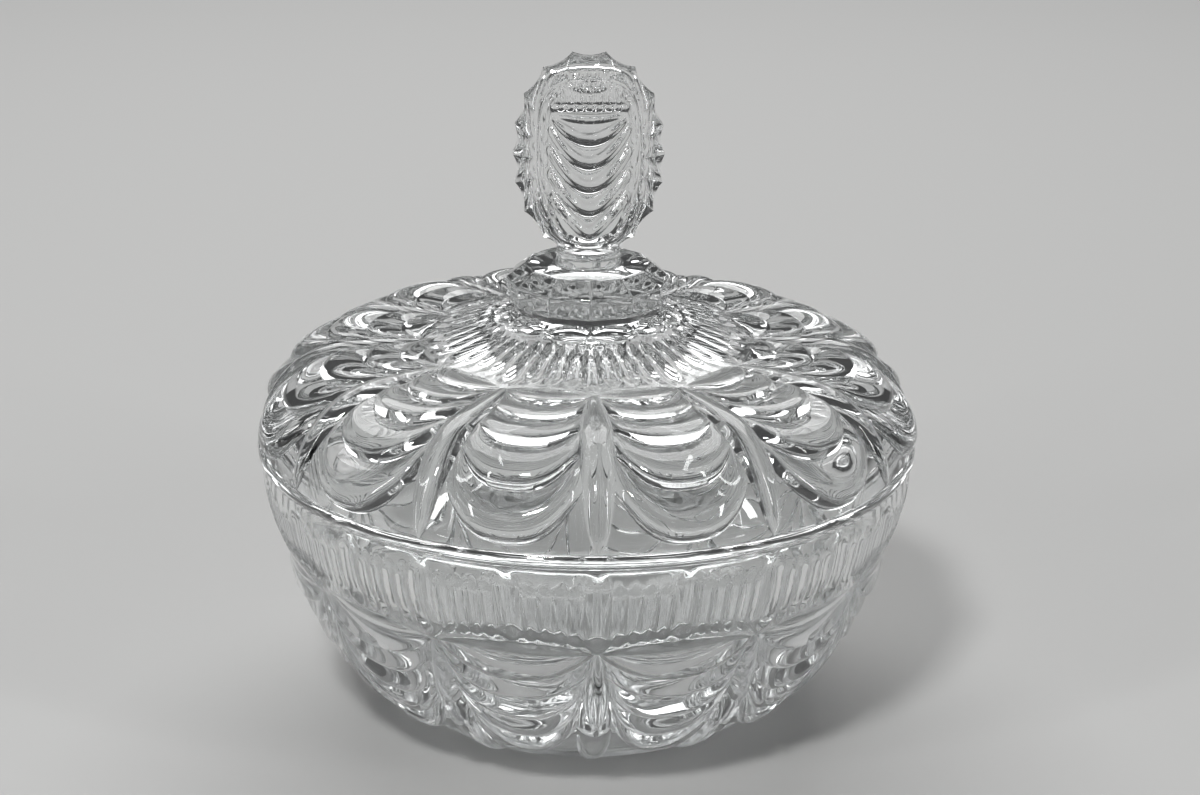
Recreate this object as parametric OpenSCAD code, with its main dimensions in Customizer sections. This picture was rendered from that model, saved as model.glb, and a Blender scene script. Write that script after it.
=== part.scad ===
// Covered dish of pressed clear glass: a round-bellied bowl and a domed lid with a paddle finial.
// Flutes, leaf strips and draped swags repeat round both pieces, one panel at a time.

/* [Pattern] */
// Panels round the dish, with a leaf strip between each two
panels = 12; // [9:1:12]
// Draped folds hung under the lens of each panel
drapes = 4; // [3:1:5]
// How the folds widen from the lens down: 1 is even
drape_grow = 1.12; // [1:0.02:1.3]
// Height of the lens's crest, in widths of the lens
lens_height = 0.15; // [0.08:0.01:0.2]
// Height of the last fold's crest, in widths of the fold
drape_height = 0.25; // [0.12:0.01:0.3]
// Place of the crest across the lens, from its upper edge
lens_crest = 0.82; // [0.5:0.02:0.86]
// Place of the crest across the last fold, from its upper edge
drape_crest = 0.58; // [0.5:0.02:0.8]
// Power of the swag curve: higher is squarer
swag_round = 2.6; // [2:0.1:3.2]
// Height of the ridge along a leaf strip
leaf_h = 1.8; // [0.6:0.1:2.2]
// Widest part of a leaf strip
leaf_w = 8.5; // [6:0.5:10]
// Depth of a narrow flute
flute_d = 0.9; // [0.4:0.1:1.3]
// Width of a wide flute, in widths of a narrow one
flute_wide = 1.7; // [1.2:0.1:2]
// Narrow flutes on each side of the bowl's middle flute
bowl_flutes = 4; // [3:1:5]
// Narrow flutes between two wide ones on the lid
lid_flutes = 3; // [2:1:4]

/* [Bowl] */
// Height of the rim above the table
rim_z = 70; // [64:0.5:74]
// Outside radius of the fluted band, where the bowl is widest
bowl_side_r = 84.4; // [80:0.2:90]
// Depth of the widest part below the rim
bowl_side_drop = 2; // [1:0.5:4]
// How far the star points draw in from the widest part
bowl_star_in = 6.9; // [5:0.1:9]
// Radius of the round belly below the star points
belly_r = 68; // [60:1:80]
// Radius of the flat base
base_r = 44.5; // [40:0.5:50]
// Width of the flat rim
rim_w = 5.75; // [4.5:0.25:8]
// Thickness of the floor
floor_t = 8; // [6:0.5:11]
// Radius of the round inside corner between floor and wall
bowl_corner_r = 60; // [50:1:61]
// Height of the star points, where leaf strips and flutes meet
bowl_star_z = 44.4; // [41:0.2:48]
// Plain glass between the last swag and the base, along the glass
bowl_heel = 15.5; // [11:0.5:19]
// How far the last swag sags between its two ends
bowl_sag = 14.5; // [10:0.5:17]
// Drop of the lens at the top of each swag
bowl_lens_l = 8.8; // [6:0.2:11]
// Rise of the lens above the star points
bowl_lens_rise = 3.3; // [2:0.1:5]
// Plain band between the flutes and the rim
bowl_band = 4; // [2.5:0.5:6]
// Slope of the rim's outer edge
rim_ease = 0.6; // [0.3:0.1:1.5]

/* [Lid] */
// Radius of the star points on the lid
lid_star_r = 43; // [40:0.5:46]
// Height of the lid's star points above the rim
lid_star_rise = 27.7; // [24:0.5:31]
// Radius of the lid's rounded shoulder
shoulder_r = 27; // [25:0.5:29]
// How far the lid's side stands out over the bowl's
lid_over = 0.2; // [0:0.1:1]
// Depth of the shoulder's centre below the rim
shoulder_drop = 0.8; // [0:0.2:4]
// Height of the plain upright band above the rim, with its bead
lid_band = 3; // [2.5:0.1:4]
// How far the bead stands out from the band
bead = 0.8; // [0.5:0.1:1.5]
// Height of the upright face of the bead
bead_w = 1; // [0.5:0.1:1.5]
// Plain glass between the last swag and the band, along the glass
lid_hem = 1.6; // [1:0.1:4]
// How far the last swag sags between its two ends
lid_sag = 13.2; // [9:0.2:16]
// Drop of the lens at the top of each swag
lid_lens_l = 6.5; // [4:0.5:8]
// Rise of the lens above the star points
lid_lens_rise = 2; // [1:0.1:3]
// Radius at the inner ends of the flutes
crown_r = 24.5; // [23:0.5:27]
// Rise of the lid from the star points to the flutes' inner ends
crown_rise = 6.8; // [5:0.2:9]
// Depth of the locating flange below the rim
flange_h = 5; // [3:0.5:7]
// Thickness of the flange
flange_t = 4; // [3:0.5:5]
// Radial play between the flange and the bowl's mouth
flange_play = 1; // [0.4:0.1:1.6]
// Glass under the star points
lid_wall = 5; // [4:0.5:7]
// Radius of the inside dome
dome_r = 150; // [130:5:200]
// Radius of the inside corner between dome and flange
lid_corner_r = 22; // [16:1:24]

/* [Plateau] */
// Corner radius of the plateau
plateau_r = 21; // [19:0.5:22]
// Rise of the foot from the flutes to the plateau's chamfer
foot_h = 2.9; // [2:0.1:4]
// How far the foot draws in under the plateau
foot_in = 1.4; // [0.6:0.1:2]
// Height of the chamfer below the plateau's upright facets
chamfer_h = 2.2; // [1:0.1:3]
// Height of the upright facets
facet_h = 5; // [3:0.1:6]
// Rise of the sloped facets on top
slope_h = 3.8; // [2:0.1:5]
// Inner radius of the sloped facets
slope_r = 16; // [14:0.5:17.5]
// Radius of the round collar
collar_r = 8.2; // [7:0.2:10]
// Height of the collar
collar_h = 4.2; // [2.5:0.1:6]

/* [Finial] */
// Width of the paddle over its points
paddle_w = 38.2; // [34:0.2:42]
// Height of the paddle over its points
paddle_l = 51.6; // [46:0.2:58]
// Width of the paddle's foot over its two lowest points
paddle_foot_w = 14.5; // [12:0.5:15.5]
// How far the paddle's foot reaches down into the collar
paddle_sink = 1.1; // [0.9:0.1:2]
// Thickness of the paddle at its panel
paddle_t = 11; // [9:0.5:13]
// Thickness of the paddle at its edge
paddle_edge_t = 4.6; // [4:0.2:7]
// Scallops round the paddle
scallops = 18; // [14:2:22]
// Depth of a scallop
scallop_d = 0.9; // [0.5:0.1:1.2]
// Width of the rim between the points and the panel
paddle_rim = 5.4; // [4.5:0.1:6.5]
// Depth of the sunk panel
panel_d = 1.4; // [1.2:0.1:2]
// Swags on each panel
panel_swags = 5; // [3:1:6]
// Step from one swag on the panel to the next
panel_step = 0.22; // [0.1:0.02:0.24]

/* [Hidden] */
$fn = 96;
glass = [0.86, 0.88, 0.89];
panel_deg = 360 / panels;
// Overlap that joins one form to the next
weld = 1;
// How far the plateau's foot starts inside and below the flutes' inner ends
foot_sink = [0.5, 0.25];
// Length along a leaf strip to the end of the lens
lens_end = 0.8;
// Half width that a leaf strip keeps at its pointed ends
leaf_tip = 0.3;
// Powers that move a leaf strip's widest part down and fill its ends
leaf_lean = 1.2;
leaf_fill = 0.8;
// Power with which the folds fall away at the leaf strips: higher is steeper
fold_fade = 14;
// Length over which a flute runs out
flute_run = 4;
// Power of the paddle's oval: 2 is an ellipse, and more is fuller
oval_full = 2.2;
// The same power for the upper half of the panel
panel_full = 3.2;
// Share of the rim's width that is left below the panel
panel_low = 0.5;
// Degrees by which the paddle's points crowd towards its top and foot
point_shift = 2;
// Width of the flat left at each point of the paddle
point_flat = 0.2;
// Sides of the circle that the lid's inside dome is cut from
dome_fn = 360;
// Rows of a fold between its upper edge and its crest, as shares of the way
bowl_fold = [0, 1];
lid_fold = [0, 0.5, 1];

// Outside of the bowl: an arc for the fluted band, and one for the belly between star points and base
bowl_side_z = rim_z - bowl_side_drop;
bowl_star = [bowl_side_r - bowl_star_in, bowl_star_z];
band_r = (pow(bowl_side_z - bowl_star_z, 2) + pow(bowl_star_in, 2)) / bowl_star_in / 2;
band_c = [bowl_side_r - band_r, bowl_side_z];
band_star_deg = asin((bowl_side_z - bowl_star_z) / band_r);
heel = [base_r, 0];
chord = norm(bowl_star - heel);
belly_out = [heel.y - bowl_star.y, bowl_star.x - heel.x] / chord;
belly_c = (bowl_star + heel) / 2 + belly_out * sqrt(pow(belly_r, 2) - pow(chord / 2, 2));
star_deg = asin((belly_c.y - bowl_star.y) / belly_r);
base_l = arc_l(belly_r, asin(belly_c.y / belly_r) - star_deg);
bowl_flute_l = arc_l(band_r, band_star_deg - asin((bowl_side_z - rim_z + bowl_band) / band_r));
bowl_swag_l = base_l - bowl_heel;
rim_r = band_c.x + sqrt(pow(band_r, 2) - pow(bowl_side_drop, 2)) - rim_ease;
mouth_r = rim_r - rim_w;

lid_star_z = rim_z + lid_star_rise;
flange_r = mouth_r - flange_play;
flange_in_r = flange_r - flange_t;
crown_z = lid_star_z + crown_rise;
lid_flute_l = norm([lid_star_r - crown_r, crown_rise]);
collar_z = crown_z + foot_h + chamfer_h + facet_h + slope_h + collar_h;
lid_side_r = bowl_side_r + lid_over;

// The shoulder's circle, and the straight slope from the star points that runs into it
shoulder_c = [lid_side_r - shoulder_r, rim_z - shoulder_drop];
to_star = [lid_star_r, lid_star_z] - shoulder_c;
slope_l = sqrt(pow(norm(to_star), 2) - pow(shoulder_r, 2));
slope_deg = atan2(to_star.y, to_star.x) - acos(shoulder_r / norm(to_star));
slope_end = shoulder_c + shoulder_r * [cos(slope_deg), sin(slope_deg)];
band_deg = asin((lid_band + shoulder_drop) / shoulder_r);
band_l = slope_l + arc_l(shoulder_r, slope_deg - band_deg);
lid_swag_l = band_l - lid_hem;

// Length of an arc, and the angle that an arc of a length spans
function arc_l(r, deg) = r * deg * PI / 180;
function arc_deg(r, l) = l / r * 180 / PI;

// Point of the bowl's outside: s along the glass below the star points, h out from it
function bowl_at(s, h) =
    s < 0 ? on_arc(band_c, band_r + h, band_star_deg + arc_deg(band_r, s))
    : on_arc(belly_c, belly_r + h, star_deg + arc_deg(belly_r, s));

// Point of an arc about c, at an angle below the level
function on_arc(c, r, deg) = c + r * [cos(deg), -sin(deg)];

// Point of the lid's outside: s along the glass below the star points, h out from it
function lid_at(s, h) =
    s < 0 ? lid_crown_at(s, h)
    : s < slope_l ? lid_slope_at(s, h)
    : lid_shoulder_at(s, h);

function lid_crown_at(s, h) =
    let (d = [crown_r - lid_star_r, crown_rise] / lid_flute_l)
    [lid_star_r, lid_star_z] - s * d + h * [d.y, -d.x];

function lid_slope_at(s, h) =
    [lid_star_r, lid_star_z] * (1 - s / slope_l) + slope_end * s / slope_l
    + h * [cos(slope_deg), sin(slope_deg)];

function lid_shoulder_at(s, h) =
    on_arc(shoulder_c, shoulder_r + h, arc_deg(shoulder_r, s - slope_l) - slope_deg);

// Half width of a leaf strip of length l, and the height of its ridge
function leaf_swell(s, l) = pow(sin(180 * pow(max(0, min(1, s / l)), leaf_lean)), leaf_fill);
function leaf_half(s, l) = leaf_tip + (leaf_w / 2 - leaf_tip) * leaf_swell(s, l);

// Flutes across a panel: [share of the width, depth] at each ridge and valley
function total(list, n) = n == 0 ? 0 : list[n - 1] + total(list, n - 1);
function flute_columns(widths) =
    let (n = len(widths), all = total(widths, n))
    [for (k = [0 : 2 * n])
        let (i = floor(k / 2), at = total(widths, i))
        k % 2 == 0 ? [at / all, 0] : [(at + widths[i] / 2) / all, flute_d * widths[i]]];

// The first and last half flutes split once more, where the swags turn steeply
function split_ends(list) =
    let (n = len(list), first = (list[0] + list[1]) / 2, last = (list[n - 2] + list[n - 1]) / 2)
    concat([list[0], first], [for (k = [1 : n - 2]) list[k]], [last, list[n - 1]]);

// Swag lines of a panel: [end, bottom] below the star points, the lens's upper edge first
function swag_lines(rise, lens_l, swag_l, sag) =
    concat([[0, -rise]],
        [for (k = [0 : drapes])
            let (t = k / drapes)
            [lens_end + (swag_l - sag - lens_end) * t, lens_l + (swag_l - lens_l) * pow(t, drape_grow)]]);

// Rows of the relief: [line, widths at end and bottom, height in widths], from the lens down
function swag_rows(lines, shares) =
    concat(
        [for (k = [0 : drapes], share = shares)
            let (down = k / drapes, crest = lens_crest + (drape_crest - lens_crest) * down,
                height = lens_height + (drape_height - lens_height) * down, wide = lines[k + 1] - lines[k])
            [lines[k] + wide * share * crest, wide, height * sin(90 * share)]],
        [[lines[drapes + 1], [0, 0], 0]]);

// A row of plain glass half way from a swag line to a level line
function plain_row(line, level) = [(line + [level, level]) / 2, [0, 0], 0];

// Drop of a swag curve across a panel as a share of its sag, and its slope there
function swag_drop(u) = 1 - pow(abs(2 * u - 1), swag_round);
function swag_slope(u) = 2 * swag_round * pow(abs(2 * u - 1), swag_round - 1);

// One ring of a flute row: a leaf column, then the columns across each panel
function flute_ring(at, s, depth, columns, wide) =
    let (half = panel_deg * wide / 2)
    [for (p = [0 : panels - 1])
        each concat(
            [turn(at(s, -depth * flute_d * flute_wide), p * panel_deg)],
            [for (c = columns)
                turn(at(s, -depth * c.y), p * panel_deg + half + c.x * (panel_deg - 2 * half))])];

// One ring of a swag row, with the leaf strip's ridge between the panels
function swag_ring(at, row, columns, leaf_l) =
    let (end = row[0].x, sag = row[0].y - end, wide = row[1], r = at(end, 0).x,
        half = arc_deg(r, leaf_half(end, leaf_l)), across = arc_l(r, panel_deg),
        ridge = leaf_h * leaf_swell(end, leaf_l))
    [for (p = [0 : panels - 1])
        each concat(
            [turn(at(end, ridge), p * panel_deg)],
            [for (c = columns)
                let (u = c.x, drop = swag_drop(u), lean = norm([1, sag * swag_slope(u) / across]),
                    fade = 1 - pow(abs(2 * u - 1), fold_fade),
                    h = row[2] * fade * (wide.x + (wide.y - wide.x) * drop) / lean)
                turn(at(end + sag * drop, h), p * panel_deg + half + u * (panel_deg - 2 * half))])];

// A plain ring of n points
function plain_ring(point, n, angles) = [for (k = [0 : n - 1]) turn(point, angles[k])];

// A profile point turned about the axis, counted from the front
function turn(p, deg) = [p.x * sin(deg), -p.x * cos(deg), p.y];

// Angles of the points of a ring
function ring_angles(ring) = [for (p = ring) atan2(p.x, -p.y)];

// A closed skin through rings that all have as many points, from the top down
module skin(rings) {
    n = len(rings[0]);
    last = len(rings) - 1;
    sides = [for (r = [0 : last - 1], k = [0 : n - 1])
        let (a = r * n + k, b = r * n + (k + 1) % n)
        each [[a, b, b + n], [a, b + n, a + n]]];
    caps = [[for (k = [n - 1 : -1 : 0]) k], [for (k = [0 : n - 1]) last * n + k]];
    polyhedron([for (ring = rings) each ring], concat(sides, caps), convexity = 6);
}

// Outside of the bowl, solid: rim, flutes, swags, heel
module bowl_block() {
    widths = [for (k = [0 : 2 * bowl_flutes]) k == bowl_flutes ? flute_wide : 1];
    columns = flute_columns(widths);
    wide = flute_wide / (total(widths, len(widths)) + flute_wide);
    lines = swag_lines(bowl_lens_rise, bowl_lens_l, bowl_swag_l, bowl_sag);
    rows = concat(swag_rows(lines, bowl_fold), [plain_row(lines[drapes + 1], base_l)]);
    at = function(s, h) bowl_at(s, h);
    n = panels * (len(columns) + 1);
    top = flute_ring(at, -bowl_flute_l, 0, columns, wide);
    body = [for (row = rows) swag_ring(at, row, columns, base_l)];
    foot = ring_angles(body[len(body) - 1]);
    skin(concat(
        [plain_ring([rim_r, rim_z], n, ring_angles(top)), top],
        [flute_ring(at, -bowl_flute_l + flute_run, 1, columns, wide)],
        [flute_ring(at, -bowl_lens_rise - flute_run, 1, columns, wide)],
        body,
        [plain_ring(heel, n, foot)]));
}

// Inside of the bowl: a flat floor, a round corner and an upright mouth
module bowl_hollow() {
    r = min(bowl_corner_r, rim_z - floor_t - weld);
    corner = [mouth_r - r, floor_t + r];
    rotate_extrude()
        intersection() {
            translate([0, floor_t]) square([mouth_r, rim_z + weld - floor_t]);
            union() {
                translate(corner) circle(r);
                translate([0, floor_t]) square([corner.x, rim_z + weld - floor_t]);
                translate([0, corner.y]) square([mouth_r, rim_z + weld - corner.y]);
            }
        }
}

// Outside of the lid up to the plateau, solid: flutes, swags, band and bead
module lid_block() {
    widths = [for (k = [1 : lid_flutes]) 1];
    columns = split_ends(flute_columns(widths));
    wide = 1 / (lid_flutes + 1);
    lines = swag_lines(lid_lens_rise, lid_lens_l, lid_swag_l, lid_sag);
    rows = concat(swag_rows(lines, lid_fold), [plain_row(lines[drapes + 1], band_l)]);
    at = function(s, h) lid_at(s, h);
    n = panels * (len(columns) + 1);
    top = flute_ring(at, -lid_flute_l, 0, columns, wide);
    body = [for (row = rows) swag_ring(at, row, columns, band_l)];
    band = ring_angles(swag_ring(at, plain_row([band_l, band_l], band_l), columns, band_l));
    bead_r = lid_side_r + bead;
    bead_z = rim_z + lid_band / 2;
    skin(concat(
        [top],
        [flute_ring(at, -lid_flute_l + flute_run, 1, columns, wide)],
        [flute_ring(at, -lid_lens_rise - flute_run, 1, columns, wide)],
        body,
        [for (p = [lid_at(band_l, 0), [bead_r, bead_z + bead_w / 2],
            [bead_r, bead_z - bead_w / 2], [lid_side_r, rim_z]])
            plain_ring(p, n, band)]));
}

// Inside of the lid: a shallow dome with a round corner down to the flange
module lid_hollow() {
    dome_z = lid_star_z - lid_wall - sqrt(pow(dome_r, 2) - pow(lid_star_r, 2));
    corner_x = flange_in_r - lid_corner_r;
    corner_z = dome_z + sqrt(pow(dome_r - lid_corner_r, 2) - pow(corner_x, 2));
    bottom = rim_z - flange_h - weld;
    top = dome_z + dome_r + weld;
    side = corner_x * (top - dome_z) / (corner_z - dome_z);
    rotate_extrude()
        intersection() {
            translate([0, bottom]) square([flange_in_r, top - bottom]);
            union() {
                intersection() {
                    translate([0, dome_z]) circle(dome_r, $fn = dome_fn);
                    polygon([[0, dome_z], [side, top], [0, top]]);
                }
                translate([corner_x, corner_z]) circle(lid_corner_r);
                translate([0, bottom]) square([flange_in_r, corner_z - bottom]);
            }
        }
}

// A many-sided step with a corner over each leaf strip
module step(r1, r2, z, h) {
    translate([0, 0, z]) rotate(-90) cylinder(r1 = r1, r2 = r2, h = h, $fn = panels);
}

// Foot, facets and collar that carry the finial
module plateau() {
    chamfer_z = crown_z + foot_h;
    facet_z = chamfer_z + chamfer_h;
    slope_z = facet_z + facet_h;
    step(crown_r - foot_sink.x, plateau_r - foot_in, crown_z - foot_sink.y, foot_h + foot_sink.y);
    step(plateau_r - foot_in, plateau_r, chamfer_z, chamfer_h);
    step(plateau_r, plateau_r, facet_z, facet_h);
    step(plateau_r, slope_r, slope_z, slope_h);
    translate([0, 0, slope_z]) cylinder(r = collar_r, h = slope_h + collar_h);
}

// Point of the paddle's full oval, drawn in by inset, at an angle from its top
function oval_at(deg, inset) =
    let (a = paddle_w / 2 - inset)
    let (b = paddle_l / 2 - inset * (cos(deg) < 0 ? panel_low : 1))
    let (full = inset > 0 && cos(deg) > 0 ? panel_full : oval_full)
    pow(pow(abs(sin(deg)) / a, full) + pow(abs(cos(deg)) / b, full), -1 / full) * [sin(deg), cos(deg)];

// Point between two scallops: on the oval, but spread to the foot's width next to the neck
function point_at(k, inset) =
    let (deg = (k + 0.5) * 360 / scallops)
    let (p = oval_at(deg - point_shift * sin(2 * deg), inset))
    [p.y < 0 ? sign(p.x) * max(abs(p.x), paddle_foot_w / 2 - inset) : p.x, p.y];

// Outline of the paddle through its points, grown by the flats
module paddle_outline() {
    polygon([for (k = [0 : scallops - 1]) point_at(k, -point_flat)]);
}

// Outline of the sunk panel
module panel_outline() {
    polygon([for (k = [0 : 2 * scallops - 1]) oval_at(k * 180 / scallops, paddle_rim)]);
}

// The rounds that cut the scallops, each through two neighbouring points, but not at the neck
module scallop_cutters() {
    for (k = [1 - scallops / 2 : scallops / 2 - 1]) {
        a = point_at(k - 1, 0);
        b = point_at(k, 0);
        half = norm(b - a) / 2;
        r = (pow(half, 2) + pow(scallop_d, 2)) / 2 / scallop_d;
        out = [a.y - b.y, b.x - a.x] / (2 * half);
        translate((a + b) / 2 + out * (r - scallop_d))
            linear_extrude(paddle_t + 2 * weld, center = true) circle(r);
    }
}

// Swags on the panel: round aprons that step down towards the neck
module panel_relief() {
    apron_r = paddle_w / 2 - paddle_rim;
    reach = paddle_l / 2 - paddle_rim;
    for (k = [1 : panel_swags])
        linear_extrude(k * panel_step)
            intersection() {
                panel_outline();
                translate([0, apron_r - reach + 2 * reach * k / (panel_swags + 2)]) circle(apron_r + weld);
            }
}

// One face of the panel, sunk from the paddle's face and filled again by the swags
module sunk_panel() {
    translate([0, 0, paddle_t / 2 - panel_d])
        difference() {
            linear_extrude(panel_d + weld) panel_outline();
            translate([0, 0, -weld]) panel_relief_block();
        }
}

// The swags with a block under them, so that they rise from the panel's floor
module panel_relief_block() {
    linear_extrude(weld) panel_outline();
    translate([0, 0, weld]) panel_relief();
}

// Flat upright grip with scalloped edge, bevelled rim and sunk panels
module finial() {
    translate([0, 0, collar_z - paddle_sink + paddle_l / 2])
        rotate([90, 0, 0])
            difference() {
                hull() {
                    linear_extrude(paddle_edge_t, center = true) paddle_outline();
                    linear_extrude(paddle_t, center = true) panel_outline();
                }
                scallop_cutters();
                sunk_panel();
                mirror([0, 0, 1]) sunk_panel();
            }
}

module bowl() {
    color(glass)
        difference() {
            bowl_block();
            bowl_hollow();
        }
}

module lid() {
    color(glass)
        difference() {
            union() {
                lid_block();
                translate([0, 0, rim_z - flange_h]) cylinder(r = flange_r, h = flange_h + weld);
                plateau();
                finial();
            }
            lid_hollow();
        }
}

bowl();
lid();
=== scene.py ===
"""Covered dish of pressed clear glass: bowl, lid with finial, and a plain studio stage."""
import math

import bmesh
import bpy
import numpy as np
from mathutils import Matrix, Vector


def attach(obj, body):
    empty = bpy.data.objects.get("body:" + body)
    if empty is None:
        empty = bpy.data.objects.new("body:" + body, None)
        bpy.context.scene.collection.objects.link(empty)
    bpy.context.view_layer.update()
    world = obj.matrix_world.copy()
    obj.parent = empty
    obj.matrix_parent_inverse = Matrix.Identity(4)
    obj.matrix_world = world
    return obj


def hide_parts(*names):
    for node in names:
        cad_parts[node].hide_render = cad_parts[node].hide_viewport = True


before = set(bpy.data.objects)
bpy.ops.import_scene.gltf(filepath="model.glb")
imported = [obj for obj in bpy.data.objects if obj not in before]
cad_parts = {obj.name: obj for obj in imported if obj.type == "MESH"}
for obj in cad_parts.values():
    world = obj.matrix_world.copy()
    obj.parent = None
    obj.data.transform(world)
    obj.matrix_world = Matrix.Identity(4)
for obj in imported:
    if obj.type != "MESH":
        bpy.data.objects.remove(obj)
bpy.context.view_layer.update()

bl_info = {
    "name": "Pressed glass dish",
    "version": (1, 0, 0),
    "blender": (4, 5, 0),
    "location": "View3D > Sidebar > Dish",
    "description": "Builds a covered dish of pressed glass and a studio stage for it",
    "category": "Add Mesh",
}

MM = 0.001
TURN = 360.0

# Rows and columns of the skins; with these the lid stays under 200,000 triangles
INSIDE_STEPS = 15
EASE_STEPS = 5
LEAF_STEPS = 5
FOLD_STEPS = 10
BOWL_FLUTE_COLUMNS, BOWL_WIDE_COLUMNS, BOWL_FLUTE_STEPS = 4, 6, 22
BOWL_CORNER_STEPS, BOWL_HEEL_STEPS = 26, 8
LID_FLUTE_COLUMNS, LID_FLUTE_STEPS, LID_HEM_STEPS = 12, 20, 6
PETAL_STEPS, BEAD_STEPS, FLANGE_STEPS = 14, 12, 6
LID_CORNER_STEPS, DOME_STEPS = 16, 14
SCALLOP_STEPS = 24  # a multiple of 4, so that the grid of the finial's panel is even
BEVEL_ROWS = (0.2, 0.4, 0.6, 0.8)  # places across the finial's bevel
SOFT_STEPS = 5

SEAM = 0.002 * MM  # points of two panels that lie this close are one
LEAF_START = 0.7  # share of the fluted zone below which its columns close in on the leaf tips
PETAL_SHARE = 0.47  # half of a petal's length and width, as a share of its field
PETAL_CUT = (0.5, 0.86)  # inward and downward parts of a petal's depth
BEAD_FULL = 0.8  # power of the bead's section: 1 is round, and less is fuller
FLANGE_FLAT = 0.4 * MM  # half of the flat left under the flange
DOME_STOP = 89  # angle above the level of the dome's last ring, in degrees
RIM_FLAT = 0.6  # share of the finial's rim bead that is flat
STRIP_TAPER = 0.9  # scale of heights on the oval inside the leaf strips, so that they taper
PANEL_EASE = 1 / 14  # share of the panel over which its relief rises from the border

# The stage, in metres and watts. The camera was fitted to the photograph.
FLOOR_R, FLOOR_SIDES = 4, 96
FLOOR_DROP = 0.15 * MM  # keeps the floor clear of the base, which would otherwise share its face
SKY, SKY_LEVEL = "#C8C9CA", 0.1
LAMP_TARGET = (0, 0, 0.08)
LAMPS = (  # name, place, width, height, power
    ("Back softbox", (0, 0.9, 1.2), 1.6, 1.0, 14.5),
    ("Left strip", (-1.0, -0.7, 0.65), 0.08, 0.7, 2.7),
    ("Right strip", (1.0, -0.7, 0.65), 0.08, 0.7, 2.7),
    ("Front softbox", (-0.35, -0.9, 1.3), 0.22, 0.22, 10),
)
LENS_MM, SENSOR_MM = 84, 36
CAMERA_FAR, CAMERA_Z, CAMERA_SIDE = 0.6844, 0.3304, math.radians(2.05)
CAMERA_TURN, CAMERA_TILT, CAMERA_ROLL = -0.0407, math.radians(70.02), 0.009
CLEAR_BOUNCES, GLOSSY_BOUNCES = 24, 12  # enough for light to leave the thick relief


def linear(code):
    """Linear RGB of an sRGB hex code."""
    parts = [int(code[i:i + 2], 16) / 255 for i in (1, 3, 5)]
    return [c / 12.92 if c <= 0.04045 else ((c + 0.055) / 1.055) ** 2.4 for c in parts]


def length(name, mm, words):
    return bpy.props.FloatProperty(
        name=name, description=words, default=mm * MM, unit="LENGTH", precision=5)


def number(name, value, words):
    return bpy.props.FloatProperty(name=name, description=words, default=value, precision=4)


def angle(name, degrees, words):
    return bpy.props.FloatProperty(
        name=name, description=words, default=math.radians(degrees), unit="ROTATION", subtype="ANGLE")


def count(name, value, words):
    return bpy.props.IntProperty(name=name, description=words, default=value, min=1)


def colour(name, code, words):
    return bpy.props.FloatVectorProperty(
        name=name, description=words, default=linear(code), size=3, subtype="COLOR", min=0, max=1)


class PatternSizes(bpy.types.PropertyGroup):
    panels: count("Panels", 12, "Panels round the dish, with a leaf strip between each two")
    drapes: count("Drapes", 4, "Draped folds hung under the lens of each panel")
    drape_grow: number("Drape growth", 1.12, "How the folds widen from the lens down: 1 is even")
    lens_height: number("Lens height", 0.15, "Height of the lens's crest, in widths of the lens")
    drape_height: number("Drape height", 0.25, "Height of the last fold's crest, in widths of the fold")
    lens_crest: number("Lens crest", 0.82, "Place of the crest across the lens, from its upper edge")
    drape_crest: number("Drape crest", 0.58, "Place of the crest across the last fold")
    swag_round: number("Swag roundness", 2.6, "Power of the swag curve: higher is squarer")
    lens_end: length("Lens end", 0.8, "Length along a leaf strip to the end of the lens")
    leaf_h: length("Leaf ridge", 1.8, "Height of the ridge along a leaf strip")
    leaf_w: length("Leaf width", 8.5, "Widest part of a leaf strip")
    leaf_round: number("Leaf roundness", 2.4, "Power of a leaf strip's section: 1 is a roof")
    leaf_lean: number("Leaf lean", 1.1, "Power that moves a leaf strip's widest part down")
    leaf_fill: number("Leaf fullness", 0.5, "Power that fills a leaf strip's ends: lower is fuller")
    fold_fade: number("Fold ends", 14, "Power with which the folds fall away at the leaf strips")
    leaf_tip: length("Leaf tip", 0.3, "Half width that a leaf strip keeps at its ends")
    flute_d: length("Flute depth", 0.9, "Depth of a narrow flute")
    flute_wide: number("Wide flute", 1.7, "Width of a wide flute in widths of a narrow one")
    flute_wide_d: number("Wide flute depth", 1.5, "Depth of a wide flute in depths of a narrow one")
    flute_run: length("Flute run-out", 4, "Length over which the end of a flute runs out to a point")
    flute_point: number("Flute point", 1.4, "Power with which the end of a flute runs out")
    star_gap: length("Star gap", 0.4, "Plain glass between a wide flute and its star point")
    lens_gap: length("Lens gap", 0.5, "Plain glass between a flute and the lens below it")


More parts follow.
